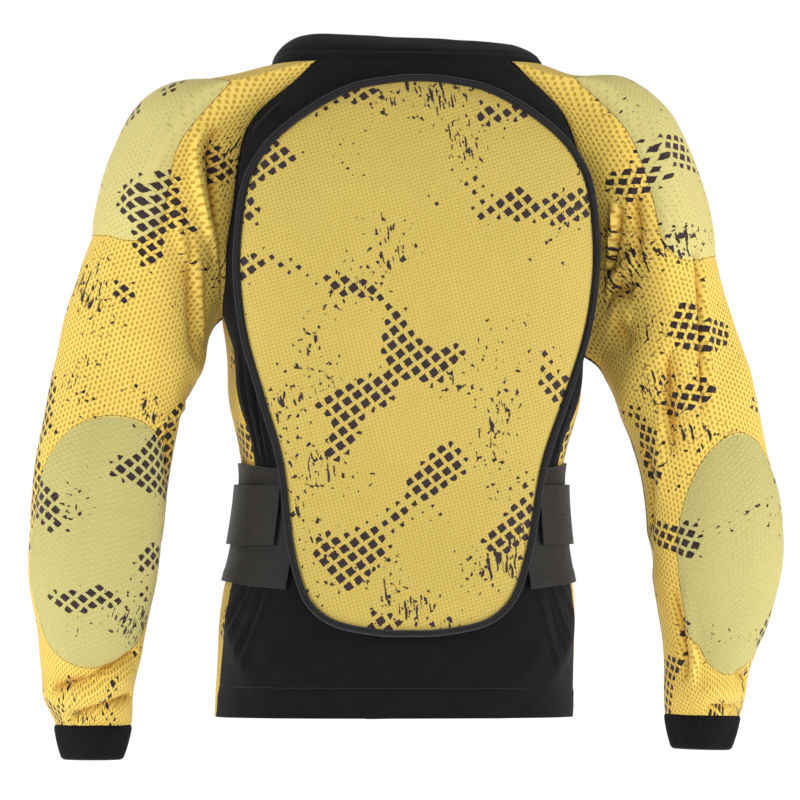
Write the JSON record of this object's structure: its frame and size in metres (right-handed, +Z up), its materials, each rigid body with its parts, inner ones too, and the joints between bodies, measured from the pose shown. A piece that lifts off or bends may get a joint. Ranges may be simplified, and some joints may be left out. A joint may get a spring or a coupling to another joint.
{
  "type": "body protector",
  "caption": "Long-sleeved mesh protector jacket with padded back plate, shoulder and elbow pads, kidney belt, collar and rib cuffs.",
  "frame": {"origin": "middle of the neck opening at the height of the collar seam at the back", "axes": "+Z up, +Y behind the wearer, +X to the wearer's left"},
  "size_m": [0.6979, 0.2473, 0.6744],
  "materials": {
    "black_stretch": "fine black stretch jersey",
    "yellow_mesh": "yellow spacer mesh with a dark print",
    "plate_mesh": "fine yellow mesh over foam with a dark print",
    "pad_foam": "greenish yellow foam",
    "rib_knit": "black rib knit",
    "zip_tape": "black zip tape",
    "binding_tape": "black stitched binding tape",
    "belt_elastic": "dark grey woven elastic"
  },
  "bodies": {
    "root": {"back_panel": "black_stretch", "front_panel_left": "yellow_mesh", "front_panel_right": "yellow_mesh", "front_zip": "zip_tape", "sleeve_left": "yellow_mesh", "sleeve_right": "yellow_mesh", "cuff_left": "rib_knit", "cuff_right": "rib_knit", "collar": "rib_knit", "shoulder_pad_left": "pad_foam", "shoulder_pad_right": "pad_foam", "elbow_pad_left": "pad_foam", "elbow_pad_right": "pad_foam", "back_protector": "plate_mesh", "back_binding": "binding_tape", "kidney_belt": "belt_elastic", "belt_strap_left": "belt_elastic", "belt_strap_right": "belt_elastic"}
  },
  "joints": []
}
